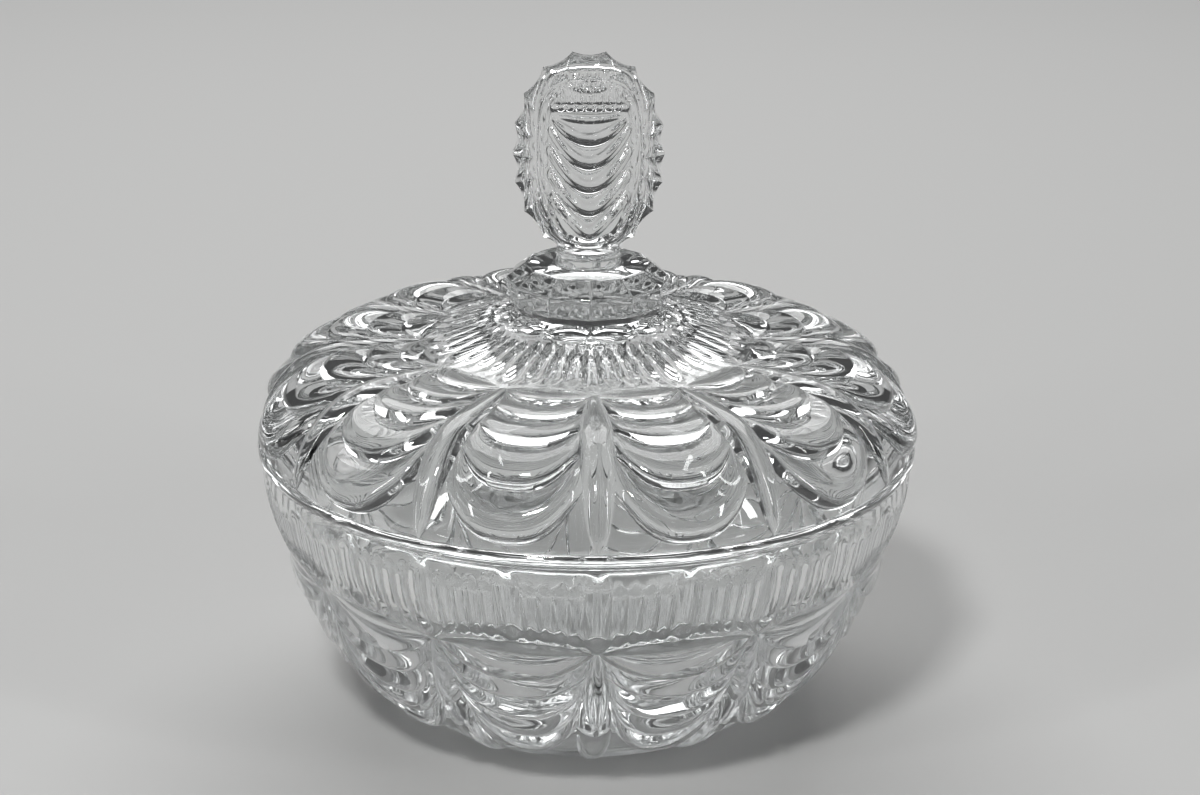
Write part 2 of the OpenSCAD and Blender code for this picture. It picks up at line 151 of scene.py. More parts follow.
class BowlSizes(bpy.types.PropertyGroup):
    rim_z: length("Rim", 70, "Height of the rim above the table")
    seat_gap: length("Seat gap", 0.05, "Air under the lid, so that the two pieces do not share a face")
    side_r: length("Side radius", 84.4, "Outside radius of the fluted band")
    band_z: length("Band centre", 68, "Height at which the fluted band is widest")
    belly_r: length("Belly radius", 68, "Radius of the round belly below the star points")
    base_r: length("Base radius", 44.5, "Radius of the flat base")
    star_r: length("Star radius", 77.5, "Radius of the star points, where leaf strips and flutes meet")
    mouth_r: length("Mouth radius", 78, "Inside radius of the mouth")
    floor_t: length("Floor", 8, "Thickness of the floor")
    corner_r: length("Inside corner", 60, "Radius of the round inside corner between floor and wall")
    star_z: length("Stars", 44.4, "Height of the star points above the table")
    swag_l: length("Swag length", 41.5, "Length of the swags below the star points, along the glass")
    swag_end: length("Swag end", 27, "Length along a leaf strip to the end of the last swag")
    lens_l: length("Lens drop", 8.8, "Drop of the lens at the top of each swag")
    lens_rise: length("Lens rise", 3.3, "Rise of the lens above the star points")
    band: length("Band", 4, "Plain band between the narrow flutes and the rim")
    reach: length("Wide flute reach", 2.4, "How far a wide flute rises above the narrow ones")
    flutes: count("Flutes", 4, "Narrow flutes on each side of the middle flute of a panel")
    ease: length("Rim ease", 0.9, "Radius that eases the edges of rim and base")


class LidSizes(bpy.types.PropertyGroup):
    star_r: length("Star radius", 43, "Radius of the star points")
    star_z: length("Stars", 97.7, "Height of the star points above the table")
    shoulder_r: length("Shoulder radius", 27, "Radius of the rounded shoulder")
    side_r: length("Side radius", 84.6, "Radius at which the shoulder turns upright")
    shoulder_drop: length("Shoulder drop", 0.8, "Depth of the shoulder's centre below the rim")
    band: length("Band", 3, "Height of the upright band above the rim, with its bead")
    bead: length("Bead", 0.8, "How far the bead stands out from the band")
    swag_l: length("Swag length", 51.7, "Length of the swags below the star points, along the glass")
    swag_end: length("Swag end", 38.5, "Length along a leaf strip to the end of the last swag")
    lens_l: length("Lens drop", 6.5, "Drop of the lens at the top of each swag")
    lens_rise: length("Lens rise", 2, "Rise of the lens above the star points")
    crown_r: length("Crown radius", 24.5, "Radius at the inner ends of the flutes")
    crown_z: length("Crown", 104.5, "Height of the inner ends of the flutes")
    flutes: count("Flutes", 3, "Narrow flutes between two wide ones")
    flute_wide: number("Wide flute", 1.15, "Width of a wide flute in widths of a narrow one")
    reach: length("Wide flute reach", 0.6, "How far a wide flute rises above the narrow ones")
    petal_d: length("Petal depth", 1.1, "Depth of the oval thumbprints round the plateau's foot")
    flange_r: length("Flange radius", 77, "Outside radius of the locating flange")
    flange_t: length("Flange thickness", 4, "Thickness of the flange")
    flange_z: length("Flange foot", 65, "Height of the flange's lower edge above the table")
    wall: length("Wall", 5, "Glass under the star points")
    dome_r: length("Dome radius", 150, "Radius of the inside dome")
    corner_r: length("Inside corner", 22, "Radius of the inside corner between dome and flange")
    plateau_r: length("Plateau radius", 21, "Corner radius of the plateau")
    foot_r: length("Foot radius", 19.6, "Corner radius under the plateau's chamfer")
    foot_z: length("Foot", 107.4, "Height of the chamfer's lower edge")
    facet_z: length("Facets", 109.6, "Height of the lower edge of the upright facets")
    facet_h: length("Facet height", 5, "Height of the upright facets")
    facet_ease: length("Facet edges", 0.4, "Width of the rounded edges between the plateau's faces")
    slope_r: length("Slope radius", 16, "Inner corner radius of the sloped facets")
    slope_z: length("Slope top", 118.4, "Height of the inner edge of the sloped facets")
    collar_r: length("Collar radius", 8.2, "Radius of the round collar")
    collar_z: length("Collar top", 122.6, "Height of the top of the collar")
    collar_ease: length("Collar ease", 0.9, "Radius of the rounded edges of the collar")


class FinialSizes(bpy.types.PropertyGroup):
    width: length("Width", 38.2, "Width of the paddle over its points")
    height: length("Height", 51.6, "Height of the paddle over its points")
    foot_w: length("Foot width", 14.5, "Width of the paddle's foot over its two lowest points")
    sink: length("Sink", 1.1, "How far the paddle's foot reaches down into the collar")
    thick: length("Thickness", 11, "Thickness at the rim of the panel")
    edge_t: length("Edge", 4.6, "Thickness at the scalloped edge")
    scallops: count("Scallops", 18, "Scallops round the paddle")
    scallop_d: length("Scallop depth", 0.9, "Depth of a scallop")
    thumb_d: length("Thumbprint depth", 0.6, "Depth of the hollow in each bevel facet")
    rim: length("Rim", 5.4, "Width of the bevel between the points and the panel's rim")
    rim_w: length("Rim bead", 0.9, "Width of the narrow bead round the panel")
    panel_d: length("Panel depth", 1.2, "Depth of the panel's ground below its rim")
    relief_h: length("Relief", 1.1, "Height of the swags and strips above the panel's ground")
    strip: length("Strip", 2.3, "Width of the leaf strips beside the swags")
    full: number("Fullness", 2.2, "Power of the paddle's oval: 2 is an ellipse, and more is fuller")
    crowd: angle("Crowding", 2, "How far the points crowd towards the top and the foot")
    brow_full: number("Panel fullness", 3.2, "The same power for the upper half of the panel")
    rim_low: number("Lower rim", 0.5, "Share of the rim's width that is left below the panel")
    star_z: length("Stars", 11.1, "Height of the panel's star points above the paddle's middle")
    lens_l: length("Lens drop", 2.5, "Drop of the lens under the star points")
    swag_l: length("Swag step", 6.1, "Drop from one swag to the next")
    swags: count("Swags", 5, "Swags on the panel")
    swag_sag: length("Swag sag", 10.5, "How far a swag on the panel sags between its ends")
    flutes: count("Flutes", 8, "Flutes across the top of the panel")
    flute_l: length("Flute length", 6.4, "Length of those flutes in the panel's middle")
    brow: length("Brow", 2.2, "Height of the plain crescent above the flutes")
    crest: number("Swag crest", 0.7, "Place of a swag's crest, as a share of its drop")
    strip_h: number("Strip relief", 0.85, "Relief of the leaf strips in reliefs of the swags")
    flute_h: number("Flute relief", 1.25, "Relief of the ridges between the flutes, likewise")
    brow_h: number("Brow relief", 0.6, "Relief of the crescent, likewise")
    hair: length("Hairline", 0.3, "Gap between two forms of the panel")
    soft: length("Softness", 0.42, "How far the pressed edges of the panel are rounded")


class GlassFinish(bpy.types.PropertyGroup):
    tint: colour("Tint", "#FBFCFC", "Colour of light that has passed one face of the glass")
    body: colour("Body", "#E9EEEE", "Colour of light that has passed through thick glass")
    density: number("Density", 2.0, "Density of the body colour, per metre")
    ior: number("IOR", 1.57, "Index of refraction of lead crystal")
    smooth: number("Roughness", 0.012, "Least roughness of the fire-polished face")
    worn: number("Worn roughness", 0.03, "Roughness where the polish is dull")
    ripple: length("Ripple", 0.012, "Height of the ripples that the mould left in the face")
    ripple_w: length("Ripple width", 9, "Width of the ripples")
    patch_w: length("Patch width", 25, "Width of the patches of dulled polish")
    floor: colour("Floor", "#CBCBCA", "Colour of the studio floor")
    floor_w: length("Floor mottle", 60, "Width of the roller's mottle on the studio floor")
    crease: angle("Crease", 30, "Edges that bend more than this are shaded sharp")


def ramp(edge0, edge1, x):
    """Smooth step from 0 at edge0 to 1 at edge1."""
    t = np.clip((x - edge0) / (edge1 - edge0), 0, 1)
    return t * t * (3 - 2 * t)


def turned(rho, z, degrees):
    """Points at radius rho and height z, turned about the axis from the front."""
    rho, z, a = np.broadcast_arrays(rho, z, np.radians(degrees))
    return np.stack([rho * np.sin(a), -rho * np.cos(a), z], axis=-1)


def fold(t, crest):
    """Section of a draped fold: a round rise from its upper edge to its crest, then a steep fall."""
    rise = np.sin(np.pi / 2 * np.minimum(1, t / crest))
    fall = np.sqrt(np.maximum(0, 1 - (np.maximum(0, t - crest) / (1 - crest)) ** 2))
    return rise * fall


class Slice:
    """Points and faces of a skin, built row by row."""

    def __init__(self):
        self.points, self.faces, self.flat = [], [], []

    def row(self, points):
        start = len(self.points)
        self.points.extend(tuple(p) for p in np.reshape(points, (-1, 3)).tolist())
        return range(start, len(self.points))

    def face(self, corners, flat=False):
        self.faces.append(corners)
        self.flat.append(flat)

    def join(self, a, b, flat=False):
        """Faces between two rows that run the same way; rows of unlike length are zipped together."""
        if len(a) == len(b):
            for k in range(len(a) - 1):
                self.face((a[k], b[k], b[k + 1], a[k + 1]), flat)
            return
        i = j = 0
        while i < len(a) - 1 or j < len(b) - 1:
            if j == len(b) - 1 or (i < len(a) - 1 and (i + 1) * (len(b) - 1) <= (j + 1) * (len(a) - 1)):
                self.face((a[i], b[j], a[i + 1]), flat)
                i += 1
            else:
                self.face((a[i], b[j], b[j + 1]), flat)
                j += 1

    def fan(self, apex, row, flat=False):
        for k in range(len(row) - 1):
            self.face((apex, row[k], row[k + 1]), flat)

    def mesh(self, name):
        mesh = bpy.data.meshes.new(name)
        mesh.from_pydata(self.points, [], self.faces)
        mesh.polygons.foreach_set("use_smooth", [not flat for flat in self.flat])
        mesh.update()
        return mesh


class Ball:
    """Outside of the bowl: a round fluted band above the star points and a round belly below them.

    s runs along the glass below the star points, h out from it.
    """

    def __init__(self, bowl):
        self.belly, self.band_z = bowl.belly_r, bowl.band_z
        dx, dz = bowl.base_r - bowl.star_r, -bowl.star_z
        chord = math.hypot(dx, dz)
        back = math.sqrt(self.belly ** 2 - chord ** 2 / 4)
        self.cx = (bowl.star_r + bowl.base_r) / 2 + dz / chord * back
        self.cz = bowl.star_z / 2 - dx / chord * back
        self.star = math.atan2(self.cz - bowl.star_z, bowl.star_r - self.cx)
        self.base_l = (math.atan2(self.cz, bowl.base_r - self.cx) - self.star) * self.belly
        rise, out = bowl.band_z - bowl.star_z, bowl.side_r - bowl.star_r
        self.band = (rise ** 2 + out ** 2) / out / 2
        self.band_x = bowl.side_r - self.band
        self.band_star = math.asin(rise / self.band)

    def at(self, s, h):
        s, h = np.broadcast_arrays(np.asarray(s, float), np.asarray(h, float))
        above, below = self.band_star + s / self.band, self.star + s / self.belly
        band, belly = self.band + h, self.belly + h
        rho = np.where(s < 0, self.band_x + band * np.cos(above), self.cx + belly * np.cos(below))
        z = np.where(s < 0, self.band_z - band * np.sin(above), self.cz - belly * np.sin(below))
        return rho, z

    def reach(self, z):
        """Length along the band from the star points up to a height, as a negative number."""
        return (math.asin((self.band_z - z) / self.band) - self.band_star) * self.band


class Dome:
    """Outside of the lid: s along the glass below the star points, h out from it."""

    def __init__(self, lid, rim_z):
        self.lid = lid
        self.cx, self.cz = lid.side_r - lid.shoulder_r, rim_z - lid.shoulder_drop
        dx, dz = lid.star_r - self.cx, lid.star_z - self.cz
        far = math.hypot(dx, dz)
        self.slope_l = math.sqrt(far ** 2 - lid.shoulder_r ** 2)
        self.slope = math.atan2(dz, dx) - math.acos(lid.shoulder_r / far)
        self.crown_l = math.hypot(lid.star_r - lid.crown_r, lid.crown_z - lid.star_z)
        self.band_a = math.asin((lid.band + lid.shoulder_drop) / lid.shoulder_r)
        self.band_l = self.slope_l + (self.slope - self.band_a) * lid.shoulder_r

    def at(self, s, h):
        lid = self.lid
        s, h = np.broadcast_arrays(np.asarray(s, float), np.asarray(h, float))
        out_x = (lid.crown_z - lid.star_z) / self.crown_l
        out_z = (lid.star_r - lid.crown_r) / self.crown_l
        crown = (lid.star_r + s * out_z + h * out_x, lid.star_z - s * out_x + h * out_z)
        nx, nz = math.cos(self.slope), math.sin(self.slope)
        slope = (lid.star_r + s * nz + h * nx, lid.star_z - s * nx + h * nz)
        a = self.slope - (s - self.slope_l) / lid.shoulder_r
        bend = (self.cx + (lid.shoulder_r + h) * np.cos(a), self.cz + (lid.shoulder_r + h) * np.sin(a))
        pick = [s < 0, s < self.slope_l]
        return tuple(np.select(pick, [crown[k], slope[k]], bend[k]) for k in (0, 1))


class Panel:
    """Columns of one panel, from the middle of one leaf strip to the middle of the next."""

    def __init__(self, pattern, widths, steps, wide):
        self.pattern = pattern
        self.deg = TURN / pattern.panels
        unit = 1 / sum(widths)
        edges = np.cumsum([0] + list(widths)) * unit
        parts = [np.linspace(edges[k], edges[k + 1], n, endpoint=False) for k, n in enumerate(steps)]
        u = np.concatenate(parts + [[1.0]])
        leaf = np.sin(np.linspace(0, np.pi / 2, LEAF_STEPS, endpoint=False))
        self.v = np.concatenate([leaf, np.ones_like(u), leaf[::-1]])
        self.u = np.concatenate([np.zeros_like(leaf), u, np.ones_like(leaf)])
        side = 2 * self.u - 1
        self.sag = 1 - np.abs(side) ** pattern.swag_round
        self.bend = -2 * pattern.swag_round * np.sign(side) * np.abs(side) ** (pattern.swag_round - 1)
        self.fade = 1 - np.abs(side) ** pattern.fold_fade
        self.wide_half = self.deg * wide / (sum(widths) + wide) / 2
        span = self.deg - 2 * self.wide_half
        centres = self.wide_half + (edges[:-1] + edges[1:]) / 2 * span
        self.flutes = [(c, w * unit * span / 2, w) for c, w in zip(centres, widths)]

    def angles(self, half):
        """Angle of each column where a leaf strip is half degrees from middle to edge."""
        inside = half + self.u * (self.deg - 2 * half)
        return np.select([self.u <= 0, self.u >= 1], [self.v * half, self.deg - self.v * half], inside)

    def swell(self, s, leaf_l):
        """Fullness of a leaf strip of length leaf_l, from 0 at its ends to 1 at its widest."""
        p = self.pattern
        return math.sin(math.pi * min(1, max(0, s / leaf_l)) ** p.leaf_lean) ** p.leaf_fill

    def leaf_half(self, s, leaf_l, rho):
        """Half width of a leaf strip in degrees."""
        p = self.pattern
        return math.degrees((p.leaf_tip + (p.leaf_w / 2 - p.leaf_tip) * self.swell(s, leaf_l)) / rho)

    def swag_lines(self, piece):
        """Swag lines as (end, bottom) below the star points: the lens's top, then each fold's foot."""
        p = self.pattern
        lines = [(0.0, -piece.lens_rise)]
        for k in range(p.drapes + 1):
            t = k / p.drapes
            lines.append((p.lens_end + (piece.swag_end - p.lens_end) * t,
                          piece.lens_l + (piece.swag_l - piece.lens_l) * t ** p.drape_grow))
        return lines

    def relief_row(self, shape, end, bottom, leaf_l, height=0.0):
        """One row along a swag line, with the leaf strip's ridge beside it."""
        rho = float(shape.at(end, 0.0)[0])
        half = self.leaf_half(end, leaf_l, rho)
        ridge = self.pattern.leaf_h * self.swell(end, leaf_l) * (1 - self.v ** self.pattern.leaf_round)
        s = end + (bottom - end) * self.sag
        return turned(*shape.at(s, ridge + height), self.angles(half))

    def swags(self, skin, last, shape, lines, leaf_l, steps):
        """Rows of folds between the swag lines, each with a full round tread and a steep lower edge."""
        p = self.pattern
        for i, (upper, lower) in enumerate(zip(lines, lines[1:])):
            down = i / p.drapes
            rise = p.lens_height + (p.drape_height - p.lens_height) * down
            middle = p.lens_crest + (p.drape_crest - p.lens_crest) * down
            for k in range(1, steps + 1):
                t = (1 - math.cos(math.pi * k / steps)) / 2
                end = upper[0] + (lower[0] - upper[0]) * t
                bottom = upper[1] + (lower[1] - upper[1]) * t
                rho = float(shape.at(end, 0.0)[0])
                across = math.radians(self.deg) * rho
                wide = lower[0] - upper[0] + (lower[1] - lower[0] - upper[1] + upper[0]) * self.sag
                lean = (bottom - end) * self.bend / across
                height = rise * fold(t, middle) * self.fade * wide / np.sqrt(1 + lean ** 2)
                row = skin.row(self.relief_row(shape, end, bottom, leaf_l, height))
                skin.join(last, row)
                last = row
        return last

    def plain(self, skin, last, shape, line, to, leaf_l, steps):
        """Rows of the plain ground from the last swag line to a level line."""
        for k in range(1, steps + 1):
            t = k / steps
            end, bottom = line[0] + (to - line[0]) * t, line[1] + (to - line[1]) * t
            row = skin.row(self.relief_row(shape, end, bottom, leaf_l))
            skin.join(last, row)
            last = row
        return last

    def flute_row(self, shape, top, narrow_top, rise, t):
        """One row of the fluted zone: t is 0 at its top and 1 at the lens and the star points."""
        p = self.pattern
        s = top + (-rise * self.sag - top) * t
        rho = float(shape.at(top * (1 - t), 0.0)[0])
        tip = math.degrees(p.leaf_tip / rho)
        a = self.angles(self.wide_half + (tip - self.wide_half) * float(ramp(LEAF_START, 1.0, t)))
        stars = [(0.0, self.wide_half, p.flute_wide), (self.deg, self.wide_half, p.flute_wide)]
        cut = np.zeros_like(a)
        for centre, reach, size in self.flutes + stars:
            head, deep = (top, p.flute_d * p.flute_wide_d) if size > 1 else (narrow_top, p.flute_d)
            foot = -p.star_gap
            if 0 < centre < self.deg:
                foot = -rise * (1 - abs(2 * centre / self.deg - 1) ** p.swag_round) - p.lens_gap
            far = np.maximum(head - s, s - foot) + p.flute_run
            depth = (1 - np.clip(far / p.flute_run, 0, 1)) ** p.flute_point
            cut = np.maximum(cut, deep * np.maximum(0, depth - ((a - centre) / reach) ** 2))
        return turned(*shape.at(s, -cut), a)

    def fluted(self, skin, last, shape, top, narrow_top, rise, steps):
        """Rows of the fluted zone."""
        for k in range(1, steps + 1):
            t = k / steps
            row = skin.row(self.flute_row(shape, top, narrow_top, rise, t))
            skin.join(last, row)
            last = row
        return last

    def ring(self, rho, z, steps):
        """A plain row of the inside, with its own number of steps."""
        return turned(rho, z, np.linspace(0, self.deg, steps + 1))


def arc(cx, cz, r, start, stop, steps):
    """Points of a round in the profile plane, from one angle to another in degrees."""
    return [(cx + r * math.cos(math.radians(a)), cz + r * math.sin(math.radians(a)))
            for a in np.linspace(start, stop, steps + 1)]


def bowl_slice(pattern, bowl):
    """Skin of one panel of the bowl, from the middle of the floor over the rim to the base."""
    ball = Ball(bowl)
    widths = [pattern.flute_wide if k == bowl.flutes else 1 for k in range(2 * bowl.flutes + 1)]
    columns = [BOWL_WIDE_COLUMNS if w > 1 else BOWL_FLUTE_COLUMNS for w in widths]
    panel = Panel(pattern, widths, columns, pattern.flute_wide)
    skin = Slice()
    rim = bowl.rim_z - bowl.seat_gap
    cx, cz = bowl.mouth_r - bowl.corner_r, bowl.floor_t + bowl.corner_r
    inside = [(cx * k / 3, bowl.floor_t) for k in (1, 2)]
    inside += arc(cx, cz, bowl.corner_r, -90, 0, BOWL_CORNER_STEPS)
    inside += arc(bowl.mouth_r + bowl.ease, rim - bowl.ease, bowl.ease, 180, 90, EASE_STEPS)
    last = skin.row(panel.ring(*inside[0], INSIDE_STEPS))
    skin.fan(skin.row([(0, 0, bowl.floor_t)])[0], last)
    for point in inside[1:]:
        row = skin.row(panel.ring(*point, INSIDE_STEPS))
        skin.join(last, row)
        last = row
    side = ball.at(ball.reach(rim - bowl.ease), 0.0)[0]
    level = panel.angles(panel.wide_half)
    for rho, z in arc(side - bowl.ease, rim - bowl.ease, bowl.ease, 90, 0, EASE_STEPS):
        row = skin.row(turned(rho, z, level))
        skin.join(last, row, flat=len(last) != len(row))
        last = row
    narrow_top = ball.reach(bowl.rim_z - bowl.band)
    top = narrow_top - bowl.reach
    last = panel.fluted(skin, last, ball, top, narrow_top, bowl.lens_rise, BOWL_FLUTE_STEPS)
    lines = panel.swag_lines(bowl)
    base_l = ball.base_l
    last = panel.swags(skin, last, ball, lines, base_l, FOLD_STEPS)
    last = panel.plain(skin, last, ball, lines[-1], base_l - bowl.ease, base_l, BOWL_HEEL_STEPS)
    foot = float(ball.at(base_l, 0.0)[0])
    level = panel.angles(panel.leaf_half(base_l, base_l, foot))
    base = skin.row(turned(foot - bowl.ease / 2, 0.0, level))
    skin.join(last, base)
    skin.fan(skin.row([(0, 0, 0)])[0], base, flat=True)
    return skin


def lid_slice(pattern, lid, bowl):
    """Skin of one panel of the lid, from the collar over the pattern and bead to the inside dome."""
    dome = Dome(lid, bowl.rim_z)
    panel = Panel(pattern, [1] * lid.flutes, [LID_FLUTE_COLUMNS] * lid.flutes, lid.flute_wide)
    skin = Slice()
    corners = np.array([0.0, panel.deg])
    ease = lid.collar_ease
    turns = arc(lid.collar_r - ease, lid.collar_z - ease, ease, 90, 0, EASE_STEPS)
    turns += arc(lid.collar_r + ease, lid.slope_z + ease, ease, 180, 270, EASE_STEPS)
    last = skin.row(panel.ring(*turns[0], INSIDE_STEPS))
    skin.fan(skin.row([(0, 0, lid.collar_z)])[0], last, flat=True)
    for rho, z in turns[1:]:
        row = skin.row(panel.ring(rho, z, INSIDE_STEPS))
        skin.join(last, row)
        last = row
    for rho, z in [(lid.slope_r, lid.slope_z), (lid.plateau_r, lid.facet_z + lid.facet_h),
                   (lid.plateau_r, lid.facet_z)]:
        row = skin.row(turned(rho, z, corners))
        skin.join(last, row, flat=True)
        last = row
    level = panel.angles(panel.wide_half)
    middle = panel.deg / 2
    straight = math.cos(math.radians(middle)) / np.cos(np.radians(level - middle))
    foot = lid.foot_r * straight
    for t in np.linspace(0, 1, PETAL_STEPS + 1):
        rho = foot + (lid.crown_r - foot) * t
        z = lid.foot_z + (lid.crown_z - lid.foot_z) * t
        place = ((level - middle) / (PETAL_SHARE * panel.deg)) ** 2 + ((t - 0.5) / PETAL_SHARE) ** 2
        cut = lid.petal_d * np.sqrt(np.maximum(0, 1 - place))
        row = skin.row(turned(rho - cut * PETAL_CUT[0], z - cut * PETAL_CUT[1], level))
        skin.join(last, row, flat=t == 0)
        last = row
    top = -dome.crown_l
    last = panel.fluted(skin, last, dome, top, top + lid.reach, lid.lens_rise, LID_FLUTE_STEPS)
    lines = panel.swag_lines(lid)
    last = panel.swags(skin, last, dome, lines, dome.band_l, FOLD_STEPS)
    last = panel.plain(skin, last, dome, lines[-1], dome.band_l, dome.band_l, LID_HEM_STEPS)
    level = panel.angles(panel.leaf_half(dome.band_l, dome.band_l, lid.side_r))
    band_r = float(dome.at(dome.band_l, 0.0)[0])
    half = lid.band / 2
    for a in np.linspace(90, -90, BEAD_STEPS + 1)[1:]:
        c, s = math.cos(math.radians(a)), math.sin(math.radians(a))
        rho = band_r + (lid.bead + lid.side_r - band_r) * c ** BEAD_FULL if a > -90 else band_r
        row = skin.row(turned(rho, bowl.rim_z + half + half * s, level))
        skin.join(last, row)
        last = row
    for rho, z in lid_inside(lid, bowl.rim_z):
        row = skin.row(panel.ring(rho, z, INSIDE_STEPS))
        skin.join(last, row, flat=len(last) != len(row))
        last = row
    skin.fan(skin.row([(0, 0, lid_apex(lid))])[0], last)
    return skin


def lid_apex(lid):
    """Height of the top of the inside dome."""
    return lid.star_z - lid.wall - math.sqrt(lid.dome_r ** 2 - lid.star_r ** 2) + lid.dome_r


def lid_inside(lid, rim_z):
    """Profile of the lid's underside: seat, flange, round corner, shallow dome."""
    inner = lid.flange_r - lid.flange_t
    dome_z = lid_apex(lid) - lid.dome_r
    cx = inner - lid.corner_r
    cz = dome_z + math.sqrt((lid.dome_r - lid.corner_r) ** 2 - cx ** 2)
    meet = math.degrees(math.atan2(cz - dome_z, cx))
    ease = lid.flange_t / 2 - FLANGE_FLAT
    points = [(lid.flange_r, rim_z), (lid.flange_r, lid.flange_z + ease)]
    points += arc(lid.flange_r - ease, lid.flange_z + ease, ease, 0, -90, FLANGE_STEPS)[1:]
    points += arc(inner + ease, lid.flange_z + ease, ease, 270, 180, FLANGE_STEPS)
    points += arc(cx, cz, lid.corner_r, 0, meet, LID_CORNER_STEPS)
    points += arc(0, dome_z, lid.dome_r, meet, DOME_STOP, DOME_STEPS)[1:]
    return points


def oval_sizes(fin, low, inset):
    """Half width, half height and power of the paddle's oval, drawn in by inset."""
    full = np.where(low, fin.full, fin.brow_full if inset else fin.full)
    return fin.width / 2 - inset, fin.height / 2 - inset * np.where(low, fin.rim_low, 1), full


def oval(fin, phi, inset):
    """Point of the paddle's full oval, drawn in by inset, at angles from its top."""
    a, b, full = oval_sizes(fin, np.cos(phi) < 0, inset)
    r = (np.abs(np.sin(phi) / a) ** full + np.abs(np.cos(phi) / b) ** full) ** (-1 / full)
    return r * np.sin(phi), r * np.cos(phi)


def oval_half(fin, z, inset):
    """Half width of that oval at a height above its middle."""
    a, b, full = oval_sizes(fin, z < 0, inset)
    return a * np.maximum(1e-6, 1 - np.minimum(1, np.abs(z / b)) ** full) ** (1 / full)


def paddle_outline(fin, per):
    """Scalloped outline of the paddle, spread to its foot; the scallop at the neck is straight."""
    step = 2 * math.pi / fin.scallops
    turn = (np.arange(fin.scallops + 1) - 0.5) * step
    px, pz = oval(fin, turn - fin.crowd * np.sin(2 * turn), 0)
    px = np.where(pz < 0, np.sign(px) * np.maximum(np.abs(px), fin.foot_w / 2), px)
    t = np.arange(per) / per
    xs, zs = [], []
    for k in range(fin.scallops):
        along = np.array([px[k + 1] - px[k], pz[k + 1] - pz[k]])
        inward = np.array([along[1], -along[0]]) / np.hypot(*along)
        sink = (0 if k == fin.scallops // 2 else fin.scallop_d) * 4 * t * (1 - t)
        xs.append(px[k] + along[0] * t + inward[0] * sink)
        zs.append(pz[k] + along[1] * t + inward[1] * sink)
    return np.concatenate(xs), np.concatenate(zs)


def panel_height(fin, x, z):
    """Relief of the paddle's panel above its ground: leaf strips, a brow, flutes, a lens and folds."""
    inset = fin.rim + fin.rim_w
    outer = oval_half(fin, z, inset)
    inner = np.minimum(outer, oval_half(fin, z * STRIP_TAPER, inset + fin.strip))
    across = np.abs(x)
    t = np.clip((across - inner) / np.maximum(outer - inner, 1e-6), 0, 1)
    strip = fin.strip_h * np.minimum(1, 3 * np.minimum(t, 1 - t))
    sag = 1 - np.minimum(1, across / inner) ** 2
    star, hair = fin.star_z, fin.hair
    lines = [(star, star + hair), (star - hair, star - fin.lens_l)]
    for k in range(1, fin.swags + 1):
        bottom = star - fin.lens_l - k * fin.swag_l
        lines.append((min(bottom + fin.swag_sag, star - hair * (k + 1)), bottom))
    skew = math.log(0.5) / math.log(fin.crest)
    folds = np.zeros_like(x)
    for upper, lower in zip(lines, lines[1:]):
        top, low = (end + (bottom - end) * sag for end, bottom in (upper, lower))
        deep = np.maximum(top - low, 1e-6)
        part = np.sin(np.pi * np.clip((top - z) / deep, 0, 1) ** skew)
        folds = np.maximum(folds, part * np.sqrt(np.minimum(1, deep / fin.swag_l)))
    foot = star + 2 * hair
    head = foot + fin.flute_l + fin.brow * (1 - sag)
    wave = x / oval_half(fin, star, inset + fin.strip) * fin.flutes / 2
    groove = 1 - (2 * (wave - np.floor(wave)) - 1) ** 2
    run = np.clip(np.minimum(z - foot, head - z) / (5 * hair), 0, 1)
    ridges = fin.flute_h * (1 - np.maximum(0, groove - 1 + run))
    flutes = np.where(z < head, ridges, 0) * ramp(foot - hair, foot + 4 * hair, z)
    t = np.clip((z - head) / np.maximum(foot + fin.flute_l + fin.brow - head, 1e-6), 0, 1)
    brow = fin.brow_h * 4 * t * (1 - t)
    return fin.relief_h * np.where(across > inner, strip, np.maximum(folds, np.maximum(flutes, brow)))


def finial_skin(fin, base_z):
    """Closed skin of the paddle, standing on base_z, with the same relief on both faces."""
    side = SCALLOP_STEPS * fin.scallops // 4
    place = np.arange(4 * side) / SCALLOP_STEPS
    share = place % 1
    phi = (place - 0.5) * 2 * math.pi / fin.scallops
    middle, face, edge = base_z + fin.height / 2, fin.thick / 2, fin.edge_t / 2
    skin = Slice()
    out_x, out_z = paddle_outline(fin, SCALLOP_STEPS)

    def loop(x, z, y):
        return skin.row(np.stack([x, np.broadcast_to(y, x.shape), z + middle], axis=-1))

    def around(a, b):
        skin.join([*a, a[0]], [*b, b[0]])

    edges = []
    for sign in (-1, 1):
        last = loop(out_x, out_z, sign * edge)
        edges.append(last)
        in_x, in_z = oval(fin, phi, fin.rim)
        for t in BEVEL_ROWS:
            thumb = fin.thumb_d * math.sin(math.pi * t) * 4 * share * (1 - share)
            y = sign * (edge + (face - edge) * t - thumb)
            row = loop(out_x + (in_x - out_x) * t, out_z + (in_z - out_z) * t, y)
            around(last, row)
            last = row
        for inset, y in ((0, face), (RIM_FLAT * fin.rim_w, face), (fin.rim_w, face - fin.panel_d)):
            row = loop(*oval(fin, phi, fin.rim + inset), sign * y)
            around(last, row)
            last = row
        disc_patch(skin, fin, last, sign * (face - fin.panel_d), sign, middle, side)
    around(*edges)
    return skin


